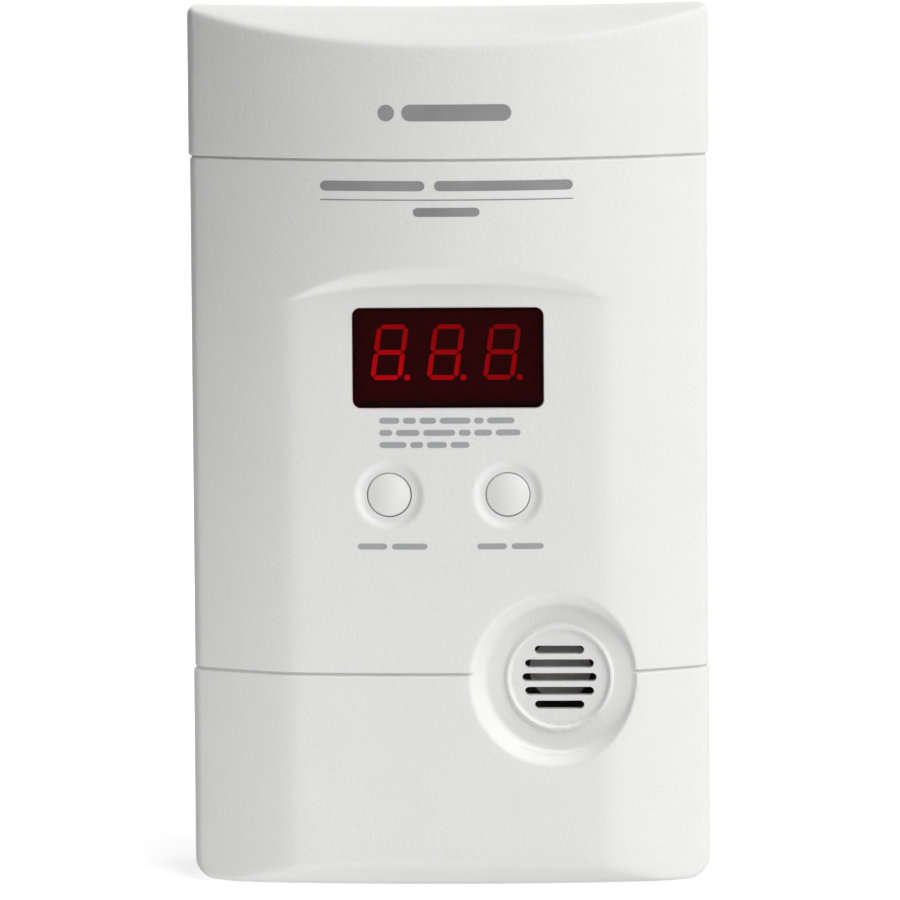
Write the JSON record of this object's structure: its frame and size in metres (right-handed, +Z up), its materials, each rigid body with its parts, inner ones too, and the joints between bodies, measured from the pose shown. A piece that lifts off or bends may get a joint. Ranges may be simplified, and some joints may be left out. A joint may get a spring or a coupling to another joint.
{
  "type": "carbon monoxide detector",
  "caption": "Plug-in carbon monoxide detector with a bowed white cover, red digit display, round push buttons, a sounder recess and a battery compartment.",
  "frame": {"origin": "middle of the bounding box, on the surface it stands on", "axes": "+X to the right seen from the front, the front faces -Y, the plug blades point along +Y, +Z up"},
  "size_m": [0.088, 0.055, 0.15],
  "materials": {
    "front_plastic": "fine pebble grain",
    "rear_plastic": "fine grain",
    "adapter_plastic": "fine grain",
    "button_plastic": "satin",
    "screw_steel": "zinc plated",
    "red_window": "gloss, red tint",
    "lit_segment": "lit",
    "black_plastic": "matt",
    "switch_plastic": "matt",
    "board": "solder mask",
    "tin": "tinned",
    "capacitor_sleeve": "shrink sleeve",
    "contact_metal": "plated",
    "blade_brass": "plated",
    "disc_metal": "spun",
    "ceramic": "glazed",
    "red_wire": "insulation",
    "black_wire": "insulation",
    "battery_jacket": "satin",
    "socket_plastic": "nylon",
    "core_steel": "laminated",
    "copper": "enamelled wire",
    "label": "satin film"
  },
  "bodies": {
    "root": {"front_cover": "front_plastic", "rear_cover": "rear_plastic", "housing_screws": "screw_steel", "display_window": "red_window", "test_switch": "switch_plastic", "peak_switch": "switch_plastic", "main_board": "board", "board_screws": "screw_steel", "display_module": "black_plastic", "display_segments": "lit_segment", "display_pins": "tin", "controller_chip": "black_plastic", "capacitors": "capacitor_sleeve", "small_components": "tin", "co_sensor_can": "tin", "co_sensor_cap": "black_plastic", "co_sensor_pins": "contact_metal", "horn_housing": "black_plastic", "horn_disc": "disc_metal", "horn_ceramic": "ceramic", "horn_leads": "red_wire", "battery_case": "battery_jacket", "battery_terminals": "tin", "battery_contacts": "contact_metal", "power_socket": "socket_plastic", "rating_label": "label"},
    "test_button_body": {"test_button": "button_plastic", "test_plunger": "black_plastic"},
    "peak_button_body": {"peak_button": "button_plastic", "peak_plunger": "black_plastic"},
    "door": {"battery_door": "rear_plastic"},
    "adapter": {"adapter_shell": "adapter_plastic", "adapter_plate": "adapter_plastic", "plug_blades": "blade_brass", "transformer_core": "core_steel", "transformer_coil": "copper", "adapter_pins": "contact_metal", "adapter_leads": "black_wire"}
  },
  "joints": [
    {"name": "test_press", "type": "slide", "parent": "root", "child": "test_button_body", "axis": [0, 1, 0], "range_m": [0, 0.0008], "stiffness_N_per_m": 400},
    {"name": "peak_press", "type": "slide", "parent": "root", "child": "peak_button_body", "axis": [0, 1, 0], "range_m": [0, 0.0008], "stiffness_N_per_m": 400},
    {"name": "door_hinge", "type": "hinge", "parent": "root", "child": "door", "pos_m": [-0.0332, 0.0091, 0.0389], "axis": [0, 0, 1], "range_deg": [0, 90]},
    {"name": "adapter_slide", "type": "slide", "parent": "root", "child": "adapter", "axis": [0, 1, 0], "range_m": [0, 0.025]}
  ]
}
